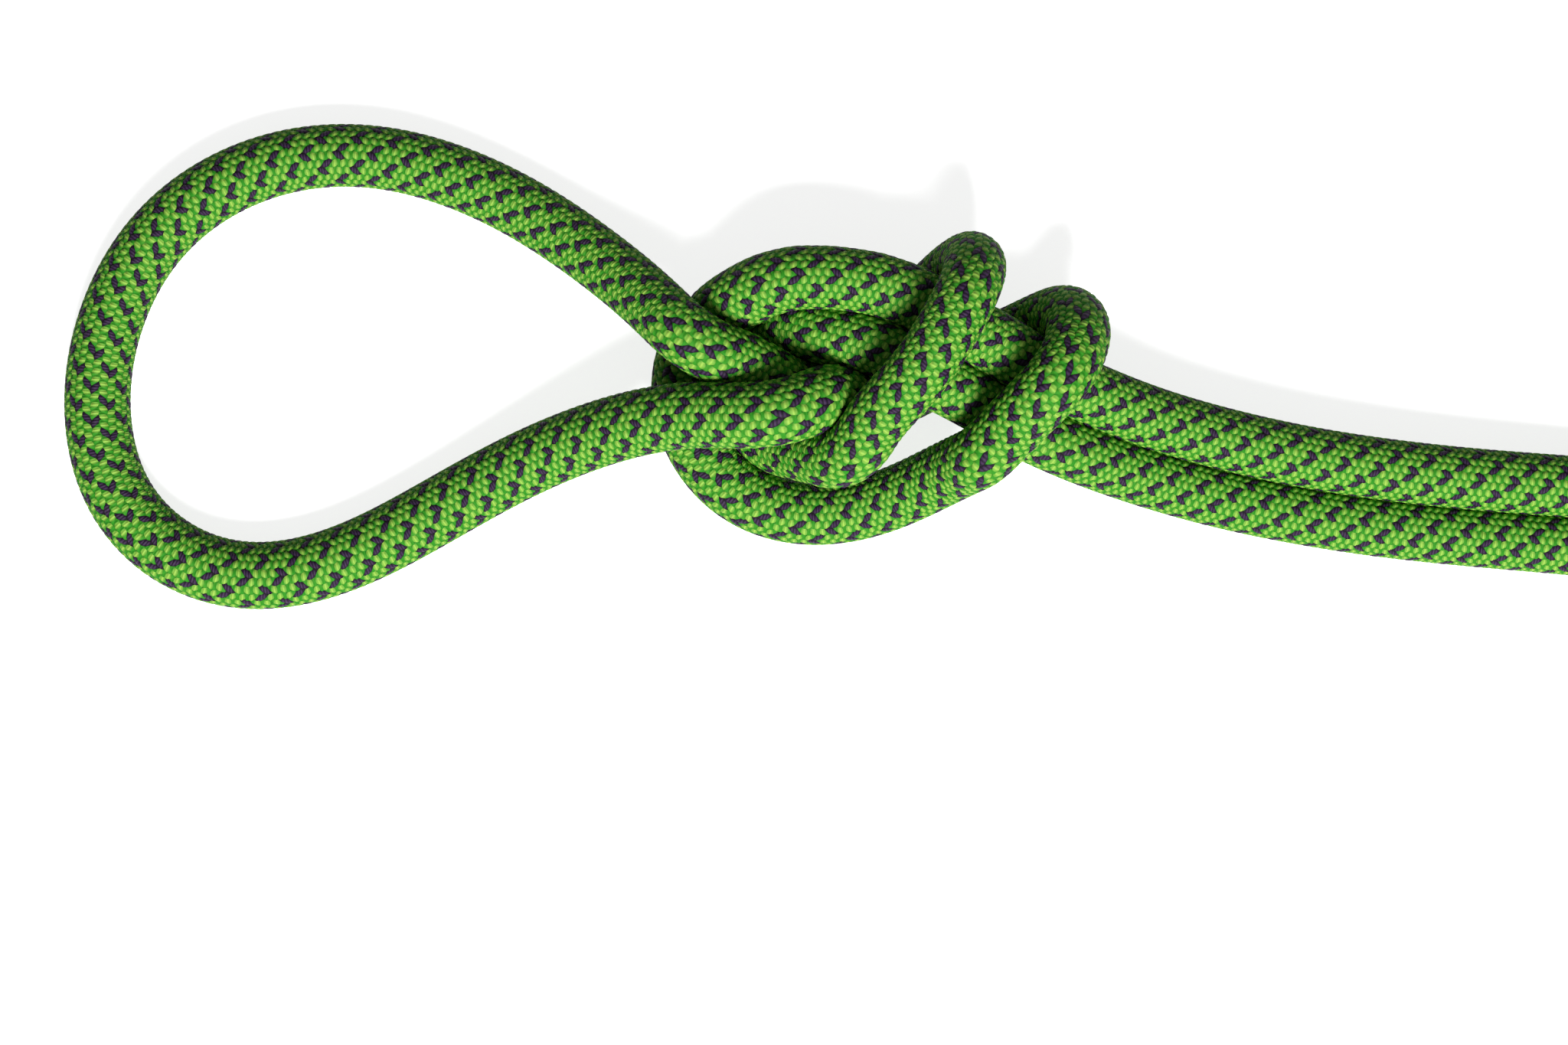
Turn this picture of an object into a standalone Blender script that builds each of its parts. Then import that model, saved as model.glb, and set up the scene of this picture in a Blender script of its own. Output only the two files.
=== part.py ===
"""Dynamic climbing rope, tied with an overhand knot on a bight.

The rope is one kernmantle rope: a braided sheath round a twisted core. It lies on a flat
surface. From left to right come the eye of the bight, the knot, and two strands side by side.
The lower strand is the standing part, which runs into the rest of the rope, folded into a
hank and held by a strap. The upper strand is the tail, which ends in a shrink sleeve and a
fused tip, and shows how the rope is made inside.

Lengths are in metres and +Z is up. The origin is on the floor, under the crown of the eye,
with +X along the rope towards the hank and +Y to the left of that direction.
"""
import math

import bmesh
import bpy
import numpy as np
from mathutils import Matrix, Vector

MM = 0.001

# ---------------------------------------------------------------------------------------------
# Driving dimensions
# ---------------------------------------------------------------------------------------------
ROPE_DIAMETER = 10.0 * MM
ROPE_LENGTH = 6.5              # from tip to tip
REST_FLAT = 0.1                # a strand on the floor is cut flat by this share of its diameter
STRAND_GAP = 0.06 * ROPE_DIAMETER    # the least air between two strands of the knot or the hank
SEAT_GAP = 0.3 * MM            # between two pieces that touch
STUB = 0.06 * ROPE_DIAMETER    # a stretch ends straight for this length

SHEATH_WALL = 0.9 * MM
CORE_STRANDS = 6               # twisted round one strand in the middle
CORE_LAY = 60.0 * MM           # length in which the core makes one turn
CORE_SETBACK = 0.1 * ROPE_DIAMETER    # the core stops this far inside the sheath's ends
THREAD_DIAMETER = 0.5 * MM     # the identification thread

SLEEVE_LENGTH = 14.0 * MM
SLEEVE_WALL = 0.4 * MM
TIP_LENGTH = 3.5 * MM

HANK_TURNS = 3                 # loops side by side
HANK_LAYERS = 4
HANK_FOLD = 17.5 * MM          # from the hank's middle line to its innermost run
HANK_WAIST = 12.0 * MM         # how far the strap draws every run in
HANK_POINTS = 24               # for each loop
END_REACH = 20.0 * MM          # how far the rope's end runs on past the last fold

STRAP_WIDTH = 20.0 * MM
STRAP_THICKNESS = 1.5 * MM
STRAP_TAB = 26.0 * MM          # the strap's end, laid back over itself

# ---------------------------------------------------------------------------------------------
# What follows from them
# ---------------------------------------------------------------------------------------------
RADIUS = ROPE_DIAMETER / 2
FLOOR_HEIGHT = RADIUS - REST_FLAT * ROPE_DIAMETER     # centre of a strand that lies on the floor
PITCH = ROPE_DIAMETER + STRAND_GAP                    # from strand to strand
HANK_PITCH = 1.03 * PITCH                             # the drawn-in waist closes the runs up
BORE_RADIUS = RADIUS - SHEATH_WALL
WAIST_LIFT = STRAP_THICKNESS + SEAT_GAP + REST_FLAT * ROPE_DIAMETER    # room for the strap
END_LIFT = SLEEVE_WALL + 2 * SEAT_GAP                 # room for the sleeve at the hank's end

GREEN = (0.13, 0.42, 0.05, 1)
PURPLE = (0.045, 0.022, 0.075, 1)

# ---------------------------------------------------------------------------------------------
# The route, chosen by hand, in millimetres for a 10 mm rope and scaled with its diameter
# ---------------------------------------------------------------------------------------------
ROUTE_DIAMETER = 10.0 * MM

ROUTE = {
    "standing_part": [
        (306, -28.6, 4), (285, -28, 4), (262, -26, 4),
        (237, -23, 4), (227, -22.3, 4), (217, -21.5, 4), (207.5, -20.5, 4), (195, -18.5, 4),
        (182.5, -16, 4), (170, -12.5, 5), (161.5, -9.5, 9), (152, -5, 14)],
    "knot_inner_turn": [
        (147, -2.2, 15), (142.5, 0, 15), (135, 4, 15), (127.5, 7.5, 15),        # over the middle
        (122, 9, 15), (116, 9.5, 13), (110, 8, 9),
        (105.5, 5.5, 5), (104, 1, 4), (105, -4, 4),                             # round the left side
        (110.5, -7.2, 4), (115, -7.8, 5),
        (119.5, -5, 10), (124, -0.8, 18), (130.5, 3.4, 25),                     # up over both strands
        (135.8, 8.5, 27), (139.4, 14, 27), (142, 19, 24),
        (142.5, 21.5, 18), (140.3, 22, 11),                                     # round the far side
        (136.2, 18.5, 5), (132, 13.5, 4), (127.5, 8.5, 4)],
    "eye_loop": [
        (122.5, 5, 4), (116.5, 4.5, 4), (111.5, 4.5, 8), (107.5, 5, 13),        # out of the knot
        (104, 6.5, 15), (100, 8.5, 16),
        (93.5, 12.9, 14), (90, 16.3, 12), (83.5, 21.4, 8), (75.5, 27.5, 5),
        (66.5, 33.1, 4), (58, 36.8, 4), (50, 39.4, 4), (39.5, 40.5, 4), (28.5, 39, 4),
        (17.8, 34.3, 4), (9.6, 27.6, 4), (3.7, 18.4, 4), (0, 7, 4), (-0.6, 0, 4),  # the crown
        (0, -8.4, 4), (2.8, -16.6, 4), (9.2, -23.9, 4), (18.8, -28.8, 4), (25.5, -29.6, 4),
        (33.5, -28.5, 4), (41.5, -25.7, 4), (49.5, -21.5, 4), (59, -15.8, 4), (66.5, -11.6, 5),
        (74, -8, 7), (82.5, -5, 10), (89.5, -3, 14), (96, -2.2, 16.5),          # back into the knot
        (103, -1.2, 18), (110, -0.5, 18.5), (116, 0.2, 16)],
    "knot_outer_turn": [
        (121.5, 0.8, 12), (126.5, 1, 7), (132, 1.5, 4), (137.5, 5.5, 4),        # under both strands
        (143, 8.5, 4), (149.5, 9.8, 6),
        (153.5, 10.3, 11), (157.3, 9.6, 18), (159, 7.6, 24),                    # round the far side
        (157.2, 4.4, 28), (152.4, 0, 27), (146.5, -4.7, 20), (140.2, -10, 11),
        (132, -15.1, 6), (124.5, -18.4, 4), (117, -19.6, 4), (109.5, -18.8, 4), # round the outside
        (102.8, -15.8, 4), (98.4, -11, 4),
        (96.5, -5.5, 4), (96.2, 0, 4), (97.2, 5.6, 4),
        (100.2, 10.2, 7), (105, 14.7, 11), (110.2, 17.3, 14), (116, 18.4, 16),
        (124.5, 18.4, 16), (132, 15.8, 16),
        (139.5, 12, 16), (147, 7.8, 16)],
    "tail": [
        (152, 4.8, 15.5), (156.5, 1.9, 14), (164, -1.1, 11), (171.5, -3.5, 9.5), (182.5, -6.5, 8.7),
        (195, -9.3, 8.2), (207.5, -11.2, 7.7), (217, -12.3, 7.3), (227, -13.3, 6.9),
        (237, -14, 6.5), (250, -14.8, 5.9), (264, -15.4, 5.2)],
}

SETTLE_STEP = 0.25             # spacing of the settled route's points, in rope diameters
SETTLE_ROUNDS = 900
HOLD = 0.05                    # how strongly a point keeps to its chosen place
BEND = 0.25                    # how strongly the rope straightens
NEIGHBOUR = 2.0                # points nearer than this along the rope, in diameters, don't touch


# ---------------------------------------------------------------------------------------------
# Paths
# ---------------------------------------------------------------------------------------------
def arc_lengths(path):
    """The length along a path at each of its points."""
    return np.concatenate([[0], np.cumsum(np.linalg.norm(np.diff(path, axis=0), axis=1))])


def read_at(path, places):
    """A path's points at these lengths along it."""
    s = arc_lengths(path)
    return np.stack([np.interp(places, s, path[:, k]) for k in range(3)], axis=1)


def even(path, step):
    """The same path with even spacing, as near the step as a whole number of steps allows."""
    long = arc_lengths(path)[-1]
    return read_at(path, np.linspace(0, long, max(2, round(long / step) + 1)))


def smooth_curve(points, samples=24):
    """A smooth curve through the points: a centripetal Catmull-Rom spline."""
    p = np.vstack([2 * points[0] - points[1], points, 2 * points[-1] - points[-2]])
    t = np.concatenate([[0], np.cumsum(np.linalg.norm(np.diff(p, axis=0), axis=1) ** 0.5)])
    pieces = []
    for k in range(1, len(p) - 2):
        u = np.linspace(t[k], t[k + 1], samples, endpoint=False)[:, None]

        def blend(a, b, ta, tb):
            return ((tb - u) * a + (u - ta) * b) / (tb - ta)

        a1 = blend(p[k - 1], p[k], t[k - 1], t[k])
        a2 = blend(p[k], p[k + 1], t[k], t[k + 1])
        a3 = blend(p[k + 1], p[k + 2], t[k + 1], t[k + 2])
        b1 = blend(a1, a2, t[k - 1], t[k + 1])
        b2 = blend(a2, a3, t[k], t[k + 2])
        pieces.append(blend(b1, b2, t[k], t[k + 1]))
    return np.vstack(pieces + [p[-2:-1]])


def settle(path):
    """Push the strands of the knot apart until they only touch, and keep them on the floor."""
    x = path.copy()
    step = arc_lengths(path)[-1] / (len(path) - 1)
    first, second = np.triu_indices(len(x), math.ceil(NEIGHBOUR * ROPE_DIAMETER / step))
    for done in range(SETTLE_ROUNDS):
        ease = max(0.0, 1 - done / (0.85 * SETTLE_ROUNDS))
        x += HOLD * ease * (path - x)
        x[1:-1] += BEND * (0.1 + 0.9 * ease) * ((x[:-2] + x[2:]) / 2 - x[1:-1])
        apart = x[first] - x[second]
        distance = np.linalg.norm(apart, axis=1)
        near = distance < PITCH
        push = apart[near] * (0.5 * (PITCH - distance[near]) / distance[near])[:, None]
        move = np.zeros_like(x)
        count = np.ones(len(x)) * 1e-9
        for index, sign in ((first[near], 1), (second[near], -1)):
            np.add.at(move, index, sign * push)
            np.add.at(count, index, 1)
        x += 1.5 * move / np.maximum(count, 1)[:, None]
        x[:, 2] = np.maximum(x[:, 2], FLOOR_HEIGHT)
    return x


def least_gap(path):
    """The least air between two turns of a tube along this path, measured on its points."""
    step = arc_lengths(path)[-1] / (len(path) - 1)
    first, second = np.triu_indices(len(path), math.ceil(NEIGHBOUR * ROPE_DIAMETER / step))
    return np.linalg.norm(path[first] - path[second], axis=1).min() - ROPE_DIAMETER


def direction(path, k):
    """The path's direction at point k."""
    step = path[min(k + 1, len(path) - 1)] - path[max(k - 1, 0)]
    return step / np.linalg.norm(step)


def settled_stretches():
    """The route, smoothed and settled, and cut into its named stretches.

    Each stretch is its path with the rope's direction at its start and at its end.
    """
    names = list(ROUTE)
    scale = ROPE_DIAMETER / ROUTE_DIAMETER
    points = np.array([p for name in names for p in ROUTE[name]], float) * scale * MM
    start = even(smooth_curve(points), SETTLE_STEP * ROPE_DIAMETER)
    route = settle(start)
    print("knot: least gap to itself %.2f mm" % (least_gap(route) / MM))
    cuts = [0]
    for name in names[1:]:
        first_point = np.array(ROUTE[name][0]) * scale * MM
        ahead = start[cuts[-1] + 1:]
        cuts.append(cuts[-1] + 1 + int(np.linalg.norm(ahead - first_point, axis=1).argmin()))
    cuts.append(len(route) - 1)
    return {name: (route[a:b + 1], direction(route, a), direction(route, b))
            for name, a, b in zip(names, cuts[:-1], cuts[1:])}


def thin(path, bend=math.radians(12), longest=1.2):
    """Keep a point wherever the path has turned by this much or run this many diameters."""
    kept = [path[0]]
    ahead = path[1] - path[0]
    for before, here, after in zip(path[:-2], path[1:-1], path[2:]):
        far = np.linalg.norm(here - kept[-1])
        turned = Vector(after - here).angle(Vector(ahead))
        if turned > bend or far > longest * ROPE_DIAMETER:
            kept.append(here)
            ahead = after - here
    return np.array(kept + [path[-1]])


def square_ends(path, start, end):
    """Trim both ends for the gap, and let a short straight stub face the neighbour squarely."""
    clear = SEAT_GAP / 2
    long = arc_lengths(path)[-1]
    places = np.linspace(clear + 4 * STUB, long - clear - 4 * STUB, len(path))
    return np.vstack([path[0] + start * clear, path[0] + start * (clear + STUB),
                      thin(read_at(path, places)),
                      path[-1] - end * (clear + STUB), path[-1] - end * clear])


def frames(path):
    """At each point, two directions square to the path that don't twist along it."""
    tangents = np.gradient(path, axis=0)
    tangents /= np.linalg.norm(tangents, axis=1)[:, None]
    side = np.cross(tangents[0], (0, 0, 1))
    sides = []
    for t in tangents:
        side = side - t * side.dot(t)
        side /= np.linalg.norm(side)
        sides.append(side.copy())
    sides = np.array(sides)
    return sides, np.cross(sides, tangents)


# ---------------------------------------------------------------------------------------------
# Shapes
# ---------------------------------------------------------------------------------------------
def clear_scene():
    for item in list(bpy.data.objects):
        bpy.data.objects.remove(item, do_unlink=True)


def collection(name):
    group = bpy.data.collections.new(name)
    bpy.context.scene.collection.children.link(group)
    return group


def material(name, colour, roughness=0.8):
    new = bpy.data.materials.new(name)
    new.use_nodes = True
    shader = new.node_tree.nodes["Principled BSDF"]
    shader.inputs["Base Color"].default_value = colour
    shader.inputs["Roughness"].default_value = roughness
    shader.inputs["Metallic"].default_value = 0
    return new


def tube(name, path, radius, finish, group, resolution=4, caps=True):
    """A round tube along a path, as a curve object."""
    curve = bpy.data.curves.new(name, "CURVE")
    curve.dimensions = "3D"
    curve.bevel_depth = radius
    curve.bevel_resolution = resolution
    curve.use_fill_caps = caps
    spline = curve.splines.new("POLY")
    spline.points.add(len(path) - 1)
    for point, place in zip(spline.points, path):
        point.co = (*place, 1)
    curve.materials.append(finish)
    new = bpy.data.objects.new(name, curve)
    group.objects.link(new)
    return new


def as_mesh(curve_object):
    """The same piece as a mesh with its caps welded, which a modifier can cut."""
    name = curve_object.name
    graph = bpy.context.evaluated_depsgraph_get()
    mesh = bpy.data.meshes.new_from_object(curve_object.evaluated_get(graph))
    work = bmesh.new()
    work.from_mesh(mesh)
    bmesh.ops.remove_doubles(work, verts=work.verts, dist=1e-7)
    bmesh.ops.recalc_face_normals(work, faces=work.faces)
    work.to_mesh(mesh)
    work.free()
    new = bpy.data.objects.new(name + "_mesh", mesh)
    new.matrix_world = curve_object.matrix_world
    curve_object.users_collection[0].objects.link(new)
    curve = curve_object.data
    bpy.data.objects.remove(curve_object)
    bpy.data.curves.remove(curve)
    new.name = name
    mesh.shade_smooth()
    mesh.set_sharp_from_angle(angle=math.radians(60))
    return new


def box_cutter(name, low, high, group):
    bpy.ops.mesh.primitive_cube_add(size=1)
    cutter = bpy.context.object
    cutter.name = name
    low, high = Vector(low), Vector(high)
    cutter.scale = high - low
    cutter.location = (low + high) / 2
    cutter.hide_render = True
    cutter.display_type = "WIRE"
    for old in cutter.users_collection:
        old.objects.unlink(cutter)
    group.objects.link(cutter)
    return cutter


def cut(piece, cutter):
    step = piece.modifiers.new("rest_flat", "BOOLEAN")
    step.operation = "DIFFERENCE"
    step.solver = "EXACT"
    step.object = cutter


def turned(name, profile, place, direction, finish, group, steps=16):
    """A turned piece: (radius, distance) pairs spun about an axis through this place."""
    mesh = bpy.data.meshes.new(name)
    work = bmesh.new()
    corners = [work.verts.new((r, 0, z)) for r, z in profile]
    for a, b in zip(corners[:-1], corners[1:]):
        work.edges.new((a, b))
    work.to_mesh(mesh)
    work.free()
    mesh.materials.append(finish)
    new = bpy.data.objects.new(name, mesh)
    turn = new.modifiers.new("turn", "SCREW")
    turn.axis = "Z"
    turn.steps = steps
    turn.render_steps = steps
    turn.use_merge_vertices = True
    turn.merge_threshold = 1e-5
    turned_to = Vector((0, 0, 1)).rotation_difference(Vector(direction)).to_matrix().to_4x4()
    new.matrix_world = Matrix.Translation(Vector(place)) @ turned_to
    group.objects.link(new)
    return new


# ---------------------------------------------------------------------------------------------
# The hank
# ---------------------------------------------------------------------------------------------
def hank_runs():
    """Each run's distance from the middle line and its layer at both ends, in rope order.

    Runs on the near side lie HANK_PITCH apart, and those on the far side half a pitch further
    in, so every loop spirals in steadily, or out on the next layer. Where the spiral turns
    round, the run itself climbs to the next layer.
    """
    runs = []
    last = HANK_TURNS - 1
    for layer in range(HANK_LAYERS):
        inward = layer % 2 == 0
        turns = range(last, -1, -1) if inward else range(HANK_TURNS)
        for turn in turns:
            near = (HANK_FOLD + (turn + 0.5) * HANK_PITCH, -1)
            far = (HANK_FOLD + (turn if inward else turn + 1) * HANK_PITCH, 1)
            pair = [near, far]
            if inward and layer > 0 and turn == last:
                pair = [far]
            if not inward and turn == last:
                pair = [near]
            runs += [(distance, side, layer) for distance, side in pair]
    climbs = [a[2] != b[2] for a, b in zip(runs[:-1], runs[1:])] + [False]
    return [(distance, side, layer, layer + climb)
            for (distance, side, layer), climb in zip(runs, climbs)]


def arc_radii(runs):
    return [(a[0] + b[0]) / 2 for a, b in zip(runs[:-1], runs[1:])]


def hank_path(length, start):
    """The hank's centreline from this start, with its runs as long as the rope's length asks."""
    runs = hank_runs()
    radii = arc_radii(runs)
    run = (length - END_REACH - math.pi * sum(radii)) / len(runs)
    x0 = start[0]
    middle_y = start[1] + runs[0][0]
    on_run = 6
    on_arc = HANK_POINTS // 2 - on_run + 2
    under_strap = (STRAP_WIDTH / 2 + 2 * MM) / run
    share = np.concatenate([np.linspace(0, 0.5 - under_strap, on_run // 2),
                            np.linspace(0.5 + under_strap, 1, on_run // 2)])
    ease = np.minimum(share, 1 - share) / (0.5 - under_strap)
    waist = ease * ease * (3 - 2 * ease)
    points = []
    for number, (distance, side, low, high) in enumerate(runs):
        forward = side < 0
        along = share if forward else 1 - share
        climb = low + (high - low) * (share - np.sin(2 * math.pi * share) / (2 * math.pi))
        points.append(np.stack([x0 + run * along,
                                middle_y + side * (distance - HANK_WAIST * waist),
                                FLOOR_HEIGHT + climb * PITCH + WAIST_LIFT * waist], axis=1))
        if number == len(radii):
            break
        reach = radii[number]
        centre_y = middle_y + side * (distance - reach)
        turn = np.linspace(0, math.pi, on_arc)[1:-1]
        outward = 1 if forward else -1
        end_x = x0 + (run if forward else 0)
        points.append(np.stack([end_x + outward * reach * np.sin(turn),
                                centre_y + side * reach * np.cos(turn),
                                np.full(len(turn), FLOOR_HEIGHT + high * PITCH)], axis=1))
    end = points[-1][-1]
    points.append(end + np.array([(0.35 * END_REACH, 0, END_LIFT), (END_REACH, 0, END_LIFT)]))
    path = np.vstack(points)
    return np.vstack([path[:1], path[:1] + (ROPE_DIAMETER, 0, 0), path[1:]]), run


def strap(middle_x, middle_y, finish, group):
    """A flat band round the hank's waist, with its end laid back over itself."""
    runs = hank_runs()
    near = max(r[0] for r in runs if r[1] < 0)
    far = max(r[0] for r in runs if r[1] > 0)
    seat = RADIUS + SEAT_GAP
    low_y = middle_y - near + HANK_WAIST - seat
    high_y = middle_y + far - HANK_WAIST + seat
    low_z = STRAP_THICKNESS
    high_z = FLOOR_HEIGHT + WAIST_LIFT + (HANK_LAYERS - 1) * PITCH + seat

    def outline(spread, tab=0.0):
        """A rounded rectangle, as (y, z) pairs, with a step on top where the strap overlaps."""
        corner = RADIUS + SEAT_GAP + spread
        pairs = []
        for cy, cz, start in ((high_y - seat, high_z - seat, 0), (low_y + seat, high_z - seat, 90),
                              (low_y + seat, low_z + seat, 180), (high_y - seat, low_z + seat, 270)):
            for k in range(5):
                angle = math.radians(start + 22.5 * k)
                pairs.append((cy + corner * math.cos(angle), cz + corner * math.sin(angle)))
            if start == 0 and tab:
                edge = (low_y + high_y) / 2 + STRAP_TAB / 2
                pairs += [(edge, high_z + spread), (edge - tab, high_z + spread + tab),
                          (edge - STRAP_TAB, high_z + spread + tab),
                          (edge - STRAP_TAB, high_z + spread)]
        return pairs

    curve = bpy.data.curves.new("hank_strap", "CURVE")
    curve.dimensions = "2D"
    curve.fill_mode = "BOTH"
    curve.extrude = STRAP_WIDTH / 2
    for pairs in (outline(STRAP_THICKNESS, tab=STRAP_THICKNESS), outline(0.0)):
        spline = curve.splines.new("POLY")
        spline.points.add(len(pairs) - 1)
        spline.use_cyclic_u = True
        for point, (y, z) in zip(spline.points, pairs):
            point.co = (y, z, 0, 1)
    curve.materials.append(finish)
    new = bpy.data.objects.new("hank_strap", curve)
    # the outline's own x and y become the world's Y and Z
    new.matrix_world = Matrix(((0, 0, 1, middle_x), (1, 0, 0, 0), (0, 1, 0, 0), (0, 0, 0, 1)))
    group.objects.link(new)
    return as_mesh(new)


# ---------------------------------------------------------------------------------------------
# The rope's ends
# ---------------------------------------------------------------------------------------------
def sheath(name, path, finish, group):
    """The braided sheath as a hollow tube, open at both ends."""
    piece = as_mesh(tube(name, path, RADIUS, finish, group, caps=False))
    wall = piece.modifiers.new("wall", "SOLIDIFY")
    wall.thickness = SHEATH_WALL
    wall.offset = -1
    wall.use_even_offset = True
    wall.use_rim = True
    return piece


def core(path, white, thread, group):
    """Strands twisted round a middle strand, with the identification thread between two."""
    sides_of_tube = 12
    room = BORE_RADIUS * math.cos(math.pi / sides_of_tube) - SEAT_GAP
    strand = (room - SEAT_GAP) / 3
    ring = 2 * strand + SEAT_GAP
    long = arc_lengths(path)[-1]
    along = read_at(path, np.linspace(CORE_SETBACK, long - CORE_SETBACK,
                                      round(2 * long / ROPE_DIAMETER)))
    side, up = frames(along)
    turn = 2 * math.pi * arc_lengths(along) / CORE_LAY

    def beside(distance, start):
        angle = (turn + start)[:, None]
        return along + distance * (np.cos(angle) * side + np.sin(angle) * up)

    tube("core_strand_0", along, strand, white, group, resolution=2)
    for k in range(CORE_STRANDS):
        start = 2 * math.pi * k / CORE_STRANDS
        tube("core_strand_%d" % (k + 1), beside(ring, start), strand, white, group, resolution=1)
    between = math.pi / CORE_STRANDS
    tube("identification_thread", beside(room - THREAD_DIAMETER / 2, between),
         THREAD_DIAMETER / 2, thread, group, resolution=0)


def rope_end(prefix, path, finish, clear, group):
    """A shrink sleeve round the last stretch of the rope, and the fused tip beyond it."""
    long = arc_lengths(path)[-1]
    covered = read_at(path, np.linspace(long - SLEEVE_LENGTH, long, 5))
    sleeve = as_mesh(tube(prefix + "_sleeve", covered, RADIUS + SEAT_GAP + SLEEVE_WALL,
                          clear, group, caps=False))
    wall = sleeve.modifiers.new("wall", "SOLIDIFY")
    wall.thickness = SLEEVE_WALL
    wall.offset = -1
    wall.use_even_offset = True
    direction = Vector(path[-1] - path[-2]).normalized()
    edge = RADIUS - 0.1 * MM
    dome = [(edge * math.cos(a), TIP_LENGTH - edge * 0.4 * (1 - math.sin(a)))
            for a in np.linspace(0, math.pi / 2, 5)]
    profile = [(0, TIP_LENGTH)] + dome[-2::-1] + [(edge, 0), (0, 0)]
    place = Vector(path[-1]) + direction * SEAT_GAP
    turned(prefix + "_tip", profile, place, direction, finish, group)


# ---------------------------------------------------------------------------------------------
# The whole rope
# ---------------------------------------------------------------------------------------------
def build():
    clear_scene()
    parts = collection("dynamic_climbing_rope")
    cutters = collection("cutters")
    green = material("sheath_green", GREEN)
    white = material("core_white", (0.8, 0.8, 0.78, 1), 0.6)
    thread = material("thread_purple", PURPLE)
    dark = material("fused_end", (0.02, 0.05, 0.02, 1), 0.35)
    clear = material("shrink_sleeve", (0.02, 0.02, 0.02, 1), 0.4)
    webbing = material("strap_black", (0.015, 0.015, 0.015, 1), 0.85)

    stretches = settled_stretches()
    known = sum(arc_lengths(path)[-1] for path, _, _ in stretches.values())
    standing, _, standing_end = stretches["standing_part"]
    stretches["standing_part"] = (standing, np.array((-1.0, 0, 0)), standing_end)
    meeting = standing[0] + (SEAT_GAP / 2, 0, 0)
    hank, run = hank_path(ROPE_LENGTH - known, meeting)

    floor = box_cutter("floor", (-0.1, -0.2, -0.02), (1.0, 0.3, 0), cutters)
    for name in ("standing_part", "knot_inner_turn", "eye_loop", "knot_outer_turn"):
        cut(as_mesh(tube(name, square_ends(*stretches[name]), RADIUS, green, parts)), floor)
    tail = square_ends(*stretches["tail"])
    sheath("tail_sheath", tail, green, parts)
    core(tail, white, thread, parts)
    rope_end("tail", tail, dark, clear, parts)

    cut(as_mesh(tube("hank", hank, RADIUS, green, parts, resolution=1)), floor)
    rope_end("hank_end", hank, dark, clear, parts)
    strap(meeting[0] + run / 2, meeting[1] + hank_runs()[0][0], webbing, parts)

    print("hank: runs of %.0f mm, %.1f loops" % (run / MM, len(hank_runs()) / 2))
    print("hank: least gap to itself %.2f mm" % (least_gap(even(hank, 5 * MM)) / MM))
    print("whole rope: %.2f m" % (known + arc_lengths(hank)[-1]))


build()
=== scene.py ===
# %% [markdown]
# # A climbing rope, tied, folded and strapped
# A kernmantle rope is a braided sheath round a twisted core. This script loads the plain model
# of one such rope and gives it its real surface: every yarn of the braid, the sleeve and the
# fused tip at each end, and the strap that holds the spare rope together.

# %% Load the plain model
import math

import bmesh
import bpy
import numpy as np
from mathutils import Matrix, Vector


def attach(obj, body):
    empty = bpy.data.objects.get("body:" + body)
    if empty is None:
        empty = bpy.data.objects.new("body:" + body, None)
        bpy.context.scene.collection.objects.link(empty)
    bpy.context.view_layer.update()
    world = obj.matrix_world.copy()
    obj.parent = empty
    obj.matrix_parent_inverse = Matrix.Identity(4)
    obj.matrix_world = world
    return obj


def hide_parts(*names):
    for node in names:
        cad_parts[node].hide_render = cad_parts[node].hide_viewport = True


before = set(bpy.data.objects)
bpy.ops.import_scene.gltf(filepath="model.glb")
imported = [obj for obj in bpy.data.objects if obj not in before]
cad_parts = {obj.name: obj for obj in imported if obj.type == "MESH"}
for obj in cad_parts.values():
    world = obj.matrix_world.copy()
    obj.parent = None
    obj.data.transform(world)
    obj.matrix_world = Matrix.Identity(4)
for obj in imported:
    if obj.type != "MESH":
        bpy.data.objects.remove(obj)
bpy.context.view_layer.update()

MM = 0.001                     # every length in this script is in metres

print("nodes:", sorted(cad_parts))

# %% [markdown]
# ## Camera
# The photograph was taken from straight above through a long lens, so the rope shows almost no
# perspective: only the humps of the knot look a little larger than the strands on the floor. The
# camera's height is chosen first, and the lens then follows from the width that it must see.

# %% Camera
CAMERA_HEIGHT = 710 * MM
VIEW_CENTRE = (111.5 * MM, -19.8 * MM)
FOCAL_LENGTH = 100             # the lens and its sensor are counted in millimetres by Blender
SENSOR_WIDTH = 36

lens = bpy.data.cameras.new("camera")
lens.lens = FOCAL_LENGTH
lens.sensor_width = SENSOR_WIDTH
lens.clip_start = 10 * MM
camera = bpy.data.objects.new("camera", lens)
camera.location = (*VIEW_CENTRE, CAMERA_HEIGHT)
bpy.context.scene.collection.objects.link(camera)
bpy.context.scene.camera = camera
print("camera sees %.0f mm across the floor" % (
    CAMERA_HEIGHT / MM * SENSOR_WIDTH / FOCAL_LENGTH))

# %% [markdown]
# ## The rope's line
# Every surface of the rope follows one line: the points of the knot, as listed, and then a
# short relaxation that pushes the strands apart where they would pass through each other, as a
# knot settles when it is drawn up. A simulation could do the same from a loose knot, but it
# wouldn't end in the photographed shape. The rope is soft, so its strands may come a little
# closer here than in the plain model, where each one is stiff and round.

# %% Sizes of the rope
ROPE_DIAMETER = 10 * MM
ROPE_LENGTH = 6.5
RADIUS = ROPE_DIAMETER / 2
FLOOR_HEIGHT = RADIUS - 0.1 * ROPE_DIAMETER     # the rope is soft and lies a little flattened
STRAND_PITCH = 1.06 * ROPE_DIAMETER             # between strands of the hank
PRESSED_PITCH = 0.965 * ROPE_DIAMETER           # between strands of the knot, pressed together
SEAT_GAP = 0.3 * MM                             # left where separate pieces lie on each other
print("rope: %.0f mm thick, %.1f m long" % (ROPE_DIAMETER / MM, ROPE_LENGTH))

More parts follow.
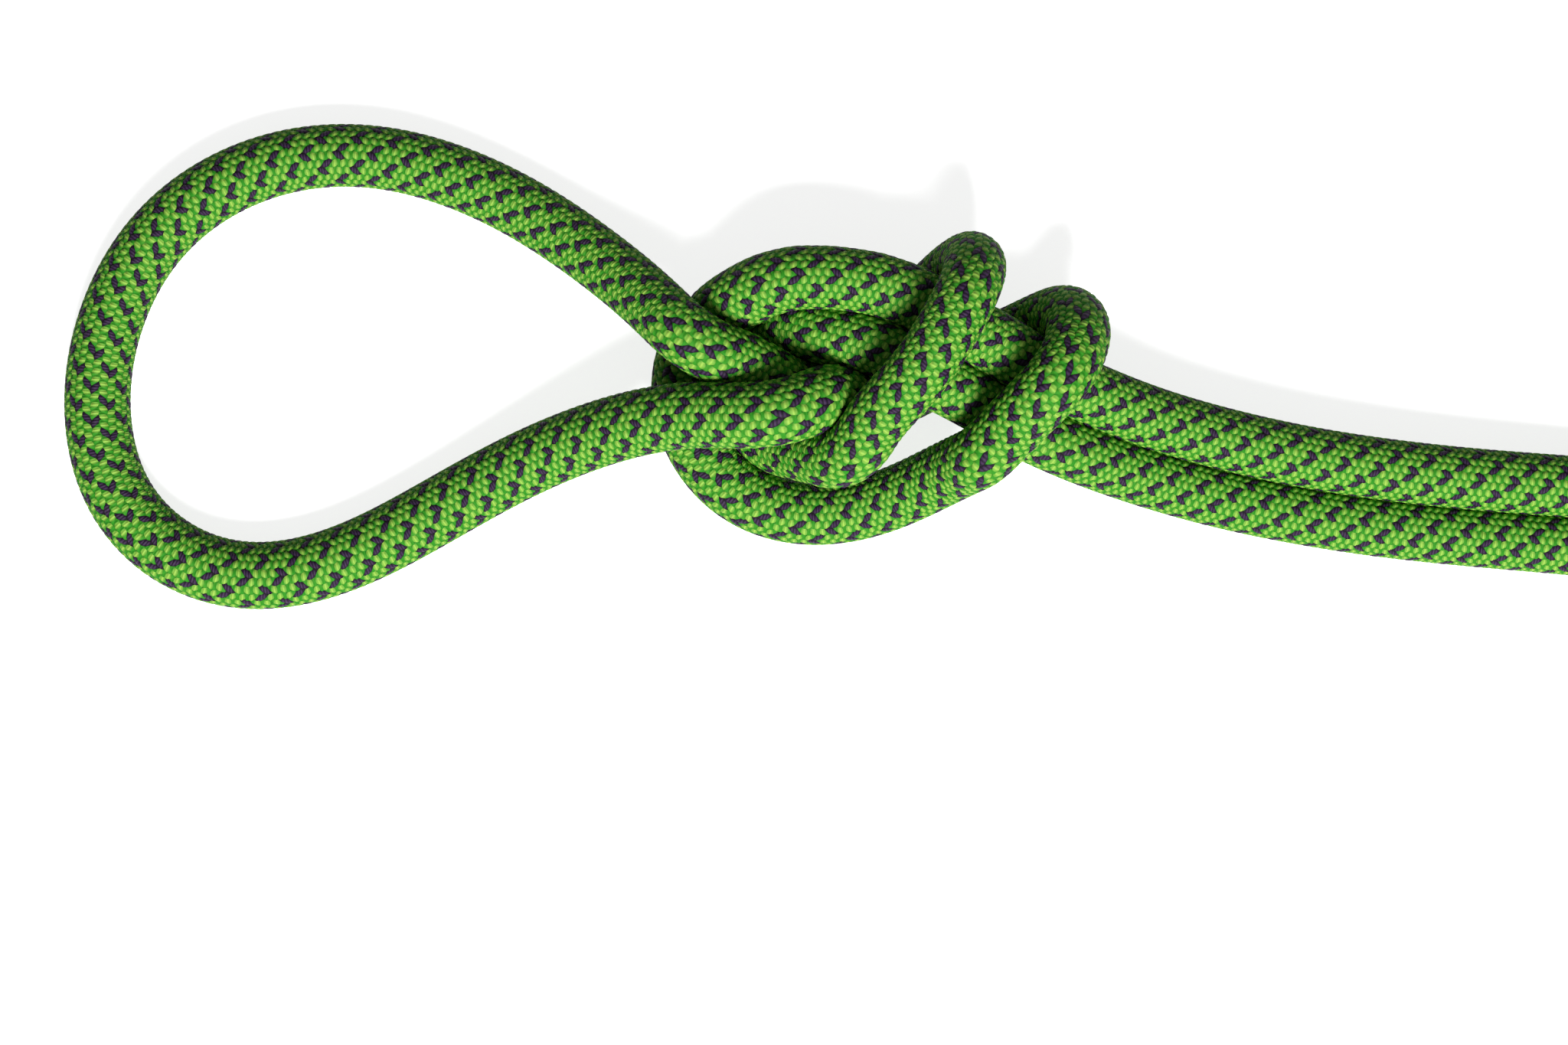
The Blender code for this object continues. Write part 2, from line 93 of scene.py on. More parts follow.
# %% The knot's points: along, across and up, in millimetres
ROUTE = {
    "standing_part": [
        (306, -28.6, 4), (285, -28, 4), (262, -26, 4),
        (237, -23, 4), (227, -22.3, 4), (217, -21.5, 4), (207.5, -20.5, 4), (195, -18.5, 4),
        (182.5, -16, 4), (170, -12.5, 5), (161.5, -9.5, 9), (152, -5, 14)],
    "knot_inner_turn": [
        (147, -2.2, 15), (142.5, 0, 15), (135, 4, 15), (127.5, 7.5, 15),        # over the middle
        (122, 9, 15), (116, 9.5, 13), (110, 8, 9),
        (105.5, 5.5, 5), (104, 1, 4), (104.4, -5.4, 4),                         # round the left side
        (108.8, -8.8, 4), (112.8, -8.6, 7),
        (117, -6.4, 14), (124.5, -2.6, 23), (134, 3, 27),                       # up over both strands
        (135.8, 8.5, 27), (139.4, 14, 27), (142, 19, 24),
        (142.5, 21.5, 18), (140.3, 22, 11),                                     # round the far side
        (136.2, 18.5, 5), (132, 13.5, 4), (127.5, 8.5, 4)],
    "eye_loop": [
        (122.5, 5, 4), (116.5, 4.5, 4), (111.5, 4.5, 8), (107.5, 5, 13),        # out of the knot
        (104, 6.5, 15), (100, 8.5, 16),
        (93.5, 12.9, 14), (90, 16.3, 12), (83.5, 21.4, 8), (75.5, 27.5, 5),
        (66.5, 33.1, 4), (58, 36.8, 4), (50, 39.4, 4), (39.5, 40.5, 4), (28.5, 39, 4),
        (17.8, 34.3, 4), (9.6, 27.6, 4), (3.7, 18.4, 4), (0, 7, 4), (-0.6, 0, 4),  # the crown
        (0, -8.4, 4), (2.8, -16.6, 4), (9.2, -23.9, 4), (18.8, -28.8, 4), (25.5, -29.6, 4),
        (33.5, -28.5, 4), (41.5, -25.7, 4), (49.5, -21.5, 4), (59, -15.8, 4), (66.5, -11.6, 5),
        (74, -8, 7), (82.5, -5, 10), (89.5, -3, 14), (96, -2.2, 16.5),          # back into the knot
        (103, -1.2, 18), (110, -0.5, 18.5), (116, 0.2, 16)],
    "knot_outer_turn": [
        (121.5, 0.8, 12), (126.5, 1, 7), (132, 1.5, 4), (137.5, 5.5, 4),        # under both strands
        (143, 8.5, 4), (149.5, 9.8, 6),
        (153.5, 10.3, 11), (157.3, 9.6, 18), (159, 7.6, 24),                    # round the far side
        (157.2, 4.4, 28), (152.4, 0, 27), (146.5, -4.7, 20), (140.2, -10, 11),
        (132, -15.1, 6), (124.5, -18.4, 4), (117, -19.6, 4), (109.5, -18.8, 4), # round the outside
        (102.8, -15.8, 4), (98.4, -11, 4),
        (96.5, -5.5, 4), (96.2, 0, 4), (97.2, 5.6, 4),
        (100.2, 10.2, 7), (105, 14.7, 11), (110.2, 17.3, 14), (116, 18.4, 16),
        (124.5, 18.4, 16), (132, 15.8, 16),
        (139.5, 12, 16), (147, 7.8, 16)],
    "tail": [
        (152, 4.8, 15.5), (156.5, 1.9, 14), (164, -1.1, 11), (171.5, -3.5, 9.5), (182.5, -6.5, 8.7),
        (195, -9.3, 8.2), (207.5, -11.2, 7.7), (217, -12.3, 7.3), (227, -13.3, 6.9),
        (237, -14, 6.5), (250, -14.8, 5.9), (264, -15.4, 5.2)],
}
print("points of the knot:", sum(len(points) for points in ROUTE.values()))


# %% Tools for lines
def arc_lengths(path):
    """The length along a path at each of its points."""
    return np.concatenate([[0], np.cumsum(np.linalg.norm(np.diff(path, axis=0), axis=1))])


def read_at(path, places):
    """A path's points at these lengths along it."""
    s = arc_lengths(path)
    return np.stack([np.interp(places, s, path[:, k]) for k in range(3)], axis=1)


def even(path, step):
    """The same path with even spacing."""
    long = arc_lengths(path)[-1]
    return read_at(path, np.linspace(0, long, max(2, round(long / step) + 1)))


def smooth_curve(points, samples=24):
    """A smooth curve through the points: a centripetal Catmull-Rom spline."""
    p = np.vstack([2 * points[0] - points[1], points, 2 * points[-1] - points[-2]])
    t = np.concatenate([[0], np.cumsum(np.linalg.norm(np.diff(p, axis=0), axis=1) ** 0.5)])
    pieces = []
    for k in range(1, len(p) - 2):
        u = np.linspace(t[k], t[k + 1], samples, endpoint=False)[:, None]

        def blend(a, b, ta, tb):
            return ((tb - u) * a + (u - ta) * b) / (tb - ta)

        a1 = blend(p[k - 1], p[k], t[k - 1], t[k])
        a2 = blend(p[k], p[k + 1], t[k], t[k + 1])
        a3 = blend(p[k + 1], p[k + 2], t[k + 1], t[k + 2])
        b1 = blend(a1, a2, t[k - 1], t[k + 1])
        b2 = blend(a2, a3, t[k], t[k + 2])
        pieces.append(blend(b1, b2, t[k], t[k + 1]))
    return np.vstack(pieces + [p[-2:-1]])


# %% Settle the knot
SETTLE_STEP = 0.25 * ROPE_DIAMETER
SETTLE_ROUNDS = 900
HOLD = 0.05                    # how strongly a point keeps to its chosen place
HOLD_SHARE = 0.85              # it is let go slowly, over this share of the rounds
BEND = 0.25                    # how strongly the rope straightens
LAST_BEND = 0.1                # the share of that which is left at the end
OVERSHOOT = 1.5                # strands that meet are pushed a little further than they must
SAME_STRAND = 2 * ROPE_DIAMETER     # points closer than this along the rope don't push


def settle(path, pitch):
    """Push the strands apart until they only touch, and keep them on the floor."""
    x = path.copy()
    step = arc_lengths(path)[-1] / (len(path) - 1)
    first, second = np.triu_indices(len(x), math.ceil(SAME_STRAND / step))
    for done in range(SETTLE_ROUNDS):
        ease = max(0.0, 1 - done / (HOLD_SHARE * SETTLE_ROUNDS))
        x += HOLD * ease * (path - x)
        bend = BEND * (LAST_BEND + (1 - LAST_BEND) * ease)
        x[1:-1] += bend * ((x[:-2] + x[2:]) / 2 - x[1:-1])
        apart = x[first] - x[second]
        distance = np.linalg.norm(apart, axis=1)
        near = distance < pitch
        push = apart[near] * (0.5 * (pitch - distance[near]) / distance[near])[:, None]
        move = np.zeros_like(x)
        count = np.zeros(len(x))
        for index, sign in ((first[near], 1), (second[near], -1)):
            np.add.at(move, index, sign * push)
            np.add.at(count, index, 1)
        x += OVERSHOOT * move / np.maximum(count, 1)[:, None]
        x[:, 2] = np.maximum(x[:, 2], FLOOR_HEIGHT)
    return x


chosen = np.array([point for points in ROUTE.values() for point in points], float) * MM
loose = even(smooth_curve(chosen), SETTLE_STEP)
settled = settle(loose, PRESSED_PITCH)
knot_length = arc_lengths(settled)[-1]
print("settled line: %.0f mm in %d points" % (knot_length / MM, len(settled)))

# %% Where one named stretch ends and the next begins
joints = [0]
for name in list(ROUTE)[1:]:
    first_point = np.array(ROUTE[name][0]) * MM
    ahead = loose[joints[-1] + 1:]
    joints.append(joints[-1] + 1 + int(np.linalg.norm(ahead - first_point, axis=1).argmin()))
joints = arc_lengths(settled)[joints + [len(settled) - 1]]
print("stretches end at, mm:", np.round(joints / MM).astype(int).tolist())

# %% [markdown]
# ## The hank's line
# The spare rope is folded back and forth into a hank, three loops side by side and four layers
# high. Every loop is drawn in at the waist, where the strap holds it. A formula lays the loops,
# so that the hank always holds exactly the length of rope that is left over.

# %% The hank's sizes
HANK_TURNS = 3
HANK_LAYERS = 4
HANK_FOLD = 17.5 * MM          # from the hank's middle line to its innermost run
HANK_WAIST = 12 * MM           # how far the strap draws every run in
HANK_PITCH = 1.03 * STRAND_PITCH
END_REACH = 20 * MM            # how far the rope's end runs on past the last fold
SLEEVE_WALL = 0.4 * MM
SLEEVE_LENGTH = 14 * MM
TIP_LENGTH = 3.5 * MM
STRAP_WIDTH = 20 * MM
STRAP_THICKNESS = 1.5 * MM
STRAP_TAB = 26 * MM            # the strap's end, laid back over itself
WAIST_LIFT = STRAP_THICKNESS + SEAT_GAP + 0.1 * ROPE_DIAMETER    # makes room for the strap
END_LIFT = SLEEVE_WALL + 2 * SEAT_GAP                            # and this for the sleeve
CLEAR_OF_STRAP = 2 * MM        # a run is straight under the strap and for this much beside it
RUN_POINTS = 3                 # of a run, on each side of the strap
FOLD_POINTS = 6                # of a fold from one run to the next


# %% The hank's runs
def hank_runs():
    """Each run's distance from the middle line and its layer at both ends, in rope order."""
    runs = []
    last = HANK_TURNS - 1
    for layer in range(HANK_LAYERS):
        inward = layer % 2 == 0
        turns = range(last, -1, -1) if inward else range(HANK_TURNS)
        for turn in turns:
            near = (HANK_FOLD + (turn + 0.5) * HANK_PITCH, -1)
            far = (HANK_FOLD + (turn if inward else turn + 1) * HANK_PITCH, 1)
            pair = [near, far]
            if inward and layer > 0 and turn == last:
                pair = [far]
            if not inward and turn == last:
                pair = [near]
            runs += [(distance, side, layer) for distance, side in pair]
    climbs = [a[2] != b[2] for a, b in zip(runs[:-1], runs[1:])] + [False]
    return [(distance, side, layer, layer + climb)
            for (distance, side, layer), climb in zip(runs, climbs)]


runs = hank_runs()
print("the hank has %d runs, and so %.1f loops" % (len(runs), len(runs) / 2))

# %% The hank's path
start = settled[0] + (SEAT_GAP / 2, 0, 0)
reaches = [(a[0] + b[0]) / 2 for a, b in zip(runs[:-1], runs[1:])]
run_length = (ROPE_LENGTH - knot_length - END_REACH - math.pi * sum(reaches)) / len(runs)
middle_x = start[0] + run_length / 2
middle_y = start[1] + runs[0][0]
under_strap = (STRAP_WIDTH / 2 + CLEAR_OF_STRAP) / run_length
share = np.concatenate([np.linspace(0, 0.5 - under_strap, RUN_POINTS),
                        np.linspace(0.5 + under_strap, 1, RUN_POINTS)])
ease = np.minimum(share, 1 - share) / (0.5 - under_strap)
waist = ease * ease * (3 - 2 * ease)
points = [np.array([start, start + (ROPE_DIAMETER, 0, 0)])]
for number, (distance, side, low, high) in enumerate(runs):
    along = share if side < 0 else 1 - share
    climb = low + (high - low) * (share - np.sin(2 * math.pi * share) / (2 * math.pi))
    run = np.stack([start[0] + run_length * along,
                    middle_y + side * (distance - HANK_WAIST * waist),
                    FLOOR_HEIGHT + climb * STRAND_PITCH + WAIST_LIFT * waist], axis=1)
    points.append(run[1:] if number == 0 else run)
    if number < len(reaches):
        turn = np.linspace(0, math.pi, FOLD_POINTS + 2)[1:-1]
        end_x = start[0] + (run_length if side < 0 else 0)
        points.append(np.stack([
            end_x - side * reaches[number] * np.sin(turn),
            middle_y + side * (distance - reaches[number] * (1 - np.cos(turn))),
            np.full(FOLD_POINTS, FLOOR_HEIGHT + high * STRAND_PITCH)], axis=1))
points.append(points[-1][-1] + np.array([(0.35 * END_REACH, 0, END_LIFT),
                                         (END_REACH, 0, END_LIFT)]))
hank_line = smooth_curve(np.vstack(points), samples=8)
print("runs of %.0f mm, and a line of %.2f m" % (run_length / MM, arc_lengths(hank_line)[-1]))

# %% [markdown]
# ## One line for the whole rope
# The braid runs without a break from the end in the hank to the tail, so both lines are joined
# into one. At each millimetre it carries two directions square to the rope, which are handed on
# from point to point without twist, because a braid doesn't turn where the rope lies relaxed.

# %% The whole line and its directions
line = even(np.vstack([hank_line[::-1], smooth_curve(settled, samples=6)[1:]]), 1 * MM)
line_s = arc_lengths(line)
knot_start = line_s[-1] - knot_length
ahead = np.gradient(line, axis=0)
ahead /= np.linalg.norm(ahead, axis=1)[:, None]
beside = np.empty_like(line)
handed_on = np.cross(ahead[0], (0, 0, 1))
for k, direction in enumerate(ahead):
    handed_on = handed_on - direction * handed_on.dot(direction)
    handed_on /= np.linalg.norm(handed_on)
    beside[k] = handed_on
print("whole rope: %.2f m" % line_s[-1])


# %% Directions anywhere on the line
def directions(s):
    """The line's point, its direction and the two directions square to it, at lengths s."""
    t = np.stack([np.interp(s, line_s, ahead[:, k]) for k in range(3)], axis=1)
    a = np.stack([np.interp(s, line_s, beside[:, k]) for k in range(3)], axis=1)
    t /= np.linalg.norm(t, axis=1)[:, None]
    a -= t * (a * t).sum(axis=1)[:, None]
    a /= np.linalg.norm(a, axis=1)[:, None]
    return read_at(line, s), t, a, np.cross(t, a)


print("the rope's tail points to", np.round(directions(line_s[-1:])[1][0], 2))

# %% [markdown]
# ## The braid
# Forty-eight yarns make the sheath, half of them winding each way, each passing over two and
# under two. What shows of a yarn is a row of short floats. u counts yarns round the rope and v
# counts crossings along it. A yarn that winds one way keeps v + u, the other v - u, so both the
# mesh and the material find the nearest float with the same few sums.

# %% The braid's measures
YARNS = 48
CROSSING = 0.6875 * MM         # along the rope, from one crossing to the next
SLANT = 0.72                   # a float lies a little squarer to the rope than its yarn runs
FLOAT_TALL = 1.16              # half a float's reach round the rope, in yarns
FLOAT_WIDE = 1.06              # half its reach along the rope, in crossings
FULLNESS = 2.4                 # 2 rounds a float into an ellipse, more fills its corners
RELIEF = 0.28 * MM             # from the gaps to the crest of a float
MEAN_HEIGHT = 0.62             # the share of the relief at which the rope's diameter is measured
FAMILIES = ((0.5, 1, 0.5), (2.5, -1, -0.5))     # middle of a float, its lean, its dark yarns
BESIDE = math.pi * ROPE_DIAMETER / YARNS
print("a float is %.1f mm long and %.1f mm wide" % (
    2 * FLOAT_TALL * math.hypot(BESIDE, SLANT * CROSSING) / MM,
    2 * CROSSING * BESIDE / math.hypot(BESIDE, SLANT * CROSSING) / MM))


def braid_height(u, v):
    """How far the sheath stands out, from 0 in the gaps to 1 on the crest of a float."""
    height = np.zeros(np.broadcast(u, v).shape)
    for middle, lean, _ in FAMILIES:
        around = (u - middle + 2) % 4 - 2
        along = (v + lean * (u - (1 - SLANT) * around) + 1) % 2 - 1
        rest = 1 - abs(around / FLOAT_TALL) ** FULLNESS - abs(along / FLOAT_WIDE) ** FULLNESS
        height = np.maximum(height, np.sqrt(np.maximum(rest, 0)))
    return height


# %% [markdown]
# ## A tube of any surface along the line
# A curve with a bevel makes a plain tube, but its surface can't carry a braid. Here a flat grid
# is made by an operator, with its own UV map, and its points are then moved round the line. The
# two edges of the grid meet on the far side of the rope, where they are merged.


# %% Roll a grid round the line
WELD = 1e-6                    # points closer than this are made one


def rolled(name, s_from, s_to, around, step, distance, paint, press=False, capped=True):
    """A tube between two lengths of the line, at a distance from it that u and s decide."""
    rings = max(4, round((s_to - s_from) / step))
    work = bmesh.new()
    work.loops.layers.uv.new("yarns")
    bmesh.ops.create_grid(work, x_segments=around, y_segments=rings, size=0.5, calc_uvs=True)
    mesh = bpy.data.meshes.new(name)
    work.to_mesh(mesh)
    work.free()
    flat = np.empty(len(mesh.vertices) * 3)
    mesh.vertices.foreach_get("co", flat)
    flat = flat.reshape(-1, 3) + 0.5
    column = np.round(flat[:, 0] * around).astype(int)
    row = np.round(flat[:, 1] * rings).astype(int)

    s = np.linspace(s_from, s_to, rings + 1)
    centre, _, a, b = directions(s)
    u = np.arange(around + 1) * YARNS / around
    turn = 2 * math.pi * u / YARNS
    reach = distance(u[None], s[:, None])[:, :, None]
    rolls = centre[:, None] + reach * (np.cos(turn)[None, :, None] * a[:, None]
                                       + np.sin(turn)[None, :, None] * b[:, None])
    if press:
        rolls = pressed(rolls, centre, s)
    rolls[:, :, 2] = np.maximum(rolls[:, :, 2], 0)
    mesh.vertices.foreach_set("co", rolls[row, column].ravel())

    corners = np.empty(len(mesh.loops) * 2, np.float32)
    yarns = mesh.uv_layers["yarns"]
    yarns.data.foreach_get("uv", corners)
    corners = corners.reshape(-1, 2) * (YARNS, (s_to - s_from) / CROSSING) + (0, s_from / CROSSING)
    yarns.data.foreach_set("uv", corners.astype(np.float32).ravel())
    return closed_tube(name, mesh, (column == 0) | (column == around), paint, capped)


def closed_tube(name, mesh, seam, paint, capped):
    """Merge the tube's two edges, close its ends and give it its finish."""
    work = bmesh.new()
    work.from_mesh(mesh)
    work.verts.ensure_lookup_table()
    bmesh.ops.remove_doubles(work, verts=[work.verts[k] for k in np.flatnonzero(seam)], dist=WELD)
    if capped:
        ends = [edge for edge in work.edges if edge.is_boundary]
        bmesh.ops.holes_fill(work, edges=ends, sides=0)
    return shown(name, work, mesh, paint)


def shown(name, work, mesh, paint):
    """Put what was worked out into a mesh, smooth and finished, and that into the scene."""
    work.to_mesh(mesh)
    work.free()
    mesh.shade_smooth()
    mesh.materials.append(paint)
    new = bpy.data.objects.new(name, mesh)
    bpy.context.scene.collection.objects.link(new)
    return new


# %% Where strands press on each other
PRESS_REACH = 1.25 * PRESSED_PITCH      # strands further apart than this leave each other alone
PRESS_APART = 1.6 * ROPE_DIAMETER       # and so do places closer than this along the rope
PRESS_GAP = 0.03 * MM                   # from the middle plane to each strand
crossing_points = line[::3]
crossing_s = line_s[::3]


def pressed(rolls, centres, s):
    """Strands that touch flatten each other: no point passes the plane halfway to the next."""
    for k, centre in enumerate(centres):
        apart = crossing_points - centre
        distance = np.linalg.norm(apart, axis=1)
        near = (distance < PRESS_REACH) & (abs(crossing_s - s[k]) > PRESS_APART)
        for j in np.flatnonzero(near):
            towards = apart[j] / distance[j]
            over = (rolls[k] - centre) @ towards - (distance[j] / 2 - PRESS_GAP)
            rolls[k] -= np.maximum(over, 0)[:, None] * towards
    return rolls


print("a strand is compared with %d points of the line" % len(crossing_points))

# %% [markdown]
# ## Shader maths in Python
# A pattern in a material is a chain of small sums. One class wraps a shader socket, so that a
# sum is written as a sum, and each operator adds its own Math node.


# %% A class for shader values
class Value:
    """One socket of a material's nodes, which can be used in sums."""

    def __init__(self, tree, socket=None):
        self.tree, self.socket = tree, socket

    def node(self, kind, settings=(), output=0, **inputs):
        """Add a node, set it up, and give its inputs values or links."""
        new = self.tree.nodes.new(kind)
        for key, value in dict(settings).items():
            setattr(new, key, value)
        for key, value in inputs.items():
            socket = new.inputs[int(key[1:])] if key[1:].isdigit() else new.inputs[key]
            if isinstance(value, Value):
                self.tree.links.new(value.socket, socket)
            else:
                socket.default_value = value
        return Value(self.tree, new.outputs[output])

    def maths(self, operation, *others):
        """A Math node that starts from this value."""
        inputs = {"i%d" % (k + 1): other for k, other in enumerate(others)}
        return self.node("ShaderNodeMath", {"operation": operation}, i0=self, **inputs)

    def __add__(self, other):
        return self.maths("ADD", other)

    __radd__ = __add__

    def __mul__(self, other):
        return self.maths("MULTIPLY", other)

    __rmul__ = __mul__

    def __sub__(self, other):
        return self.maths("SUBTRACT", other)

    def __rsub__(self, other):
        return self.node("ShaderNodeMath", {"operation": "SUBTRACT"}, i0=other, i1=self)

    def __truediv__(self, other):
        return self.maths("DIVIDE", other)

    def __pow__(self, other):
        return self.maths("POWER", other)

    def __mod__(self, other):
        return self.maths("FLOORED_MODULO", other)

    def __abs__(self):
        return self.maths("ABSOLUTE")

    def __gt__(self, other):
        return self.maths("GREATER_THAN", other)

    def __lt__(self, other):
        return self.maths("LESS_THAN", other)

    def wave(self, length):
        """A soft ripple from 0 to 1 that repeats after this length."""
        return (self * (2 * math.pi / length)).maths("COSINE") * 0.5 + 0.5

    def above(self, low, high):
        """0 below low, 1 above high, and a smooth step between."""
        return self.node("ShaderNodeMapRange", {"interpolation_type": "SMOOTHSTEP"}, Value=self,
                         i1=low, i2=high)

    def mix(self, low, high):
        """A colour from low to high as this value goes from 0 to 1."""
        return self.node("ShaderNodeMix", {"data_type": "RGBA"}, output=2, i0=self, i6=low, i7=high)

    def split(self):
        """The first two numbers of a vector, each as a value of its own."""
        first = self.node("ShaderNodeSeparateXYZ", i0=self)
        return first, Value(self.tree, first.socket.node.outputs[1])

    def uv(self, name):
        """Both numbers of a piece's own UV map."""
        return self.node("ShaderNodeUVMap", {"uv_map": name}).split()

    def place(self):
        """The place in the object's own axes."""
        return self.node("ShaderNodeTexCoord", output="Object")

    def to(self, socket):
        """Feed this value into a socket."""
        self.tree.links.new(self.socket, socket)

    def bump(self, sockets, strength=1.0):
        """Use this value as the surface's relief, in millimetres."""
        self.node("ShaderNodeBump", Strength=strength, Distance=MM, Height=self).to(
            sockets["Normal"])


def finish(name, colour=(0.5, 0.5, 0.5), roughness=0.8, **sockets):
    """A new material: its Principled shader's own values, and a value to start sums from."""
    new = bpy.data.materials.new(name)
    new.use_nodes = True
    shader = new.node_tree.nodes["Principled BSDF"]
    shader.inputs["Base Color"].default_value = (*colour, 1)
    shader.inputs["Roughness"].default_value = roughness
    for key, value in sockets.items():
        shader.inputs[key.replace("_", " ")].default_value = value
    return new, shader.inputs, Value(new.node_tree)


# %% [markdown]
# ## Floor and light
# The floor is a plain pale sheet. It looks white to the camera and in reflections, and glows a
# little there so that the shadow on it stays faint. To light that bounces off it the floor is
# darker, because the photographed rope has dark lower flanks. One lamp stands high over the near
# side, so that the strands have bright crests and dark far flanks.

# %% Floor
FLOOR_SEEN = (0.93, 0.93, 0.93, 1)
FLOOR_BOUNCE = (0.20, 0.20, 0.20, 1)
FLOOR_GLOW = 0.8

bpy.ops.mesh.primitive_plane_add(size=8, location=(0.25, 0, -0.1 * MM))
floor = bpy.context.object
floor.name = "floor"
floor_paint, sockets, value = finish("floor_paint", roughness=0.9)
seen = (value.node("ShaderNodeLightPath", output="Is Camera Ray")
        + value.node("ShaderNodeLightPath", output="Is Glossy Ray")
        + value.node("ShaderNodeLightPath", output="Is Transmission Ray")).maths("MINIMUM", 1)
seen.mix(FLOOR_BOUNCE, FLOOR_SEEN).to(sockets["Base Color"])
sockets["Emission Strength"].default_value = FLOOR_GLOW
seen.mix((0, 0, 0, 1), (1, 1, 1, 1)).to(sockets["Emission Color"])
floor.data.materials.append(floor_paint)
print("floor:", [round(v, 1) for v in floor.dimensions])

# %% Lights
WORLD_STRENGTH = 0.12

world = bpy.data.worlds.new("world")
world.use_nodes = True
world.node_tree.nodes["Background"].inputs["Color"].default_value = (1, 1, 1, 1)
world.node_tree.nodes["Background"].inputs["Strength"].default_value = WORLD_STRENGTH
bpy.context.scene.world = world
bpy.context.scene.view_settings.view_transform = "Standard"


def lamp(name, place, aim, size, power):
    """A square area light that points at a place."""
    light = bpy.data.lights.new(name, "AREA")
    light.size = size
    light.energy = power
    new = bpy.data.objects.new(name, light)
    new.location = place
    new.rotation_euler = (Vector(aim) - Vector(place)).to_track_quat("-Z", "Y").to_euler()
    bpy.context.scene.collection.objects.link(new)
    return new


key = lamp("key", place=(0.24, -0.90, 1.10), aim=(0.16, 0, 0), size=0.45, power=29)
print("key lamp at", [round(v, 2) for v in key.location])

# %% [markdown]
# ## The sheath's finish
# Each float is a bundle of bright green nylon, and every fourth yarn each way is dark purple, so
# that a purple float meets another in a small arrow. The yarn itself is twisted from thinner
# ones, which cross the float square to the rope: on its crest a painted highlight stands for the
# light they catch, as a yellow patch of fine lines, and towards its ends and in the gaps painted
# shade sinks them into deep green. The purple floats have a fainter painted glint, and painted
# shade that turns near black. All of it is worked out from u and v, and a little noise keeps two
# floats from being quite the same.

# %% Colours of the sheath
# The crest colours are painted highlights and the deep colours painted shade in the gaps; the body
# colours are the yarns' own.
GREEN_PAINTED_HIGHLIGHT = (0.36, 0.585, 0.090, 1)
GREEN_BODY = (0.028, 0.25, 0.012, 1)
GREEN_PAINTED_SHADE = (0.008, 0.13, 0.005, 1)
PURPLE_PAINTED_HIGHLIGHT = (0.060, 0.030, 0.083, 1)
PURPLE_BODY = (0.0075, 0.0037, 0.011, 1)
PURPLE_PAINTED_SHADE = (0.002, 0.001, 0.003, 1)
PLY = 0.68                     # from one thin yarn to the next, in crossings
# The bright patch is the painted highlight on a float's crest.
BLOB_WIDE = 0.74               # half the bright patch on a float: along the rope, in crossings
BLOB_TALL = 1.70               # and round it, in yarns
UNEVEN = 0.35                  # how much the noise changes the patch
THIN_RELIEF = 0.06             # how far the thin yarns stand out, in millimetres


# %% A float's shape in the shader
def nearest_float(u, v, middle, lean):
    """Its height, the place on it along and round the rope, and its yarn's number."""
    around = (u - middle + 2) % 4 - 2
    row = v + lean * (u - (1 - SLANT) * around)
    number = (row / 2).maths("ROUND")
    along = row - 2 * number
    rest = 1 - abs(around / FLOAT_TALL) ** FULLNESS - abs(along / FLOAT_WIDE) ** FULLNESS
    return rest.maths("MAXIMUM", 0) ** 0.5, along - lean * SLANT * around, around, number


def sheath_finish(name, bump):
    """The braid by its UV map, with painted highlight and shade. The bump also carries the floats
    where the mesh doesn't.
    """
    new, sockets, value = finish(name, Specular_IOR_Level=0.15)
    u, v = value.uv("yarns")
    shapes = [nearest_float(u, v, middle, lean) for middle, lean, _ in FAMILIES]
    darks = [((shape[3] + first) % 4) < 1 for shape, (_, _, first) in zip(shapes, FAMILIES)]
    on_top = shapes[0][0] > shapes[1][0]

    def either(first, second):
        """The first value where the first family's float lies on top, and else the second."""
        return second + on_top * (first - second)

    height = shapes[0][0].maths("MAXIMUM", shapes[1][0])
    ahead = either(shapes[0][1], shapes[1][1])
    beside = either(shapes[0][2], shapes[1][2])
    dark = either(darks[0], darks[1])
    thin = ahead.wave(PLY)
    crown = (1 - (ahead / BLOB_WIDE) ** 2.0 - (beside / BLOB_TALL) ** 2.0).maths("MAXIMUM", 0)
    # 0 in the gaps, where the colour turns to painted shade, and 1 on the float
    body = height.above(0.0, MEAN_HEIGHT)
    uneven = value.node("ShaderNodeTexNoise", Scale=420.0, Detail=4.0, Roughness=0.7,
                        Vector=value.place())
    # the painted highlight: a patch of thin-yarn lines on each green crest, made uneven by the noise
    bright = crown.above(0.0, 0.95) * (0.50 + 0.40 * thin) + UNEVEN * (uneven - 0.45)
    # a fainter painted glint on the crests of the purple floats
    painted_glint = height.above(0.35, 1.0) * (0.15 + 0.85 * thin)
    green = bright.mix(body.mix(GREEN_PAINTED_SHADE, GREEN_BODY), GREEN_PAINTED_HIGHLIGHT)
    purple = painted_glint.mix(body.mix(PURPLE_PAINTED_SHADE, PURPLE_BODY), PURPLE_PAINTED_HIGHLIGHT)
    dark.mix(green, purple).to(sockets["Base Color"])
    (0.70 - 0.18 * bright).to(sockets["Roughness"])
    relief = height * (RELIEF / MM if bump else 0.0) + thin * height * THIN_RELIEF
    relief.bump(sockets)
    return new


sheath_near = sheath_finish("sheath_braid", bump=False)
sheath_far = sheath_finish("sheath_braid_folded", bump=True)
print("nodes in the sheath's finish:", len(sheath_near.node_tree.nodes))

# %% [markdown]
# ## How thick the rope lies
# A rope isn't equally thick everywhere. Round the eye the sheath bulges a little where it lies
# on the floor, and in the two straight strands it is drawn thin. The table gives it as a share
# of ten millimetres, by the distance from the start of the knot's line in millimetres, and it
# runs straight from one place to the next.

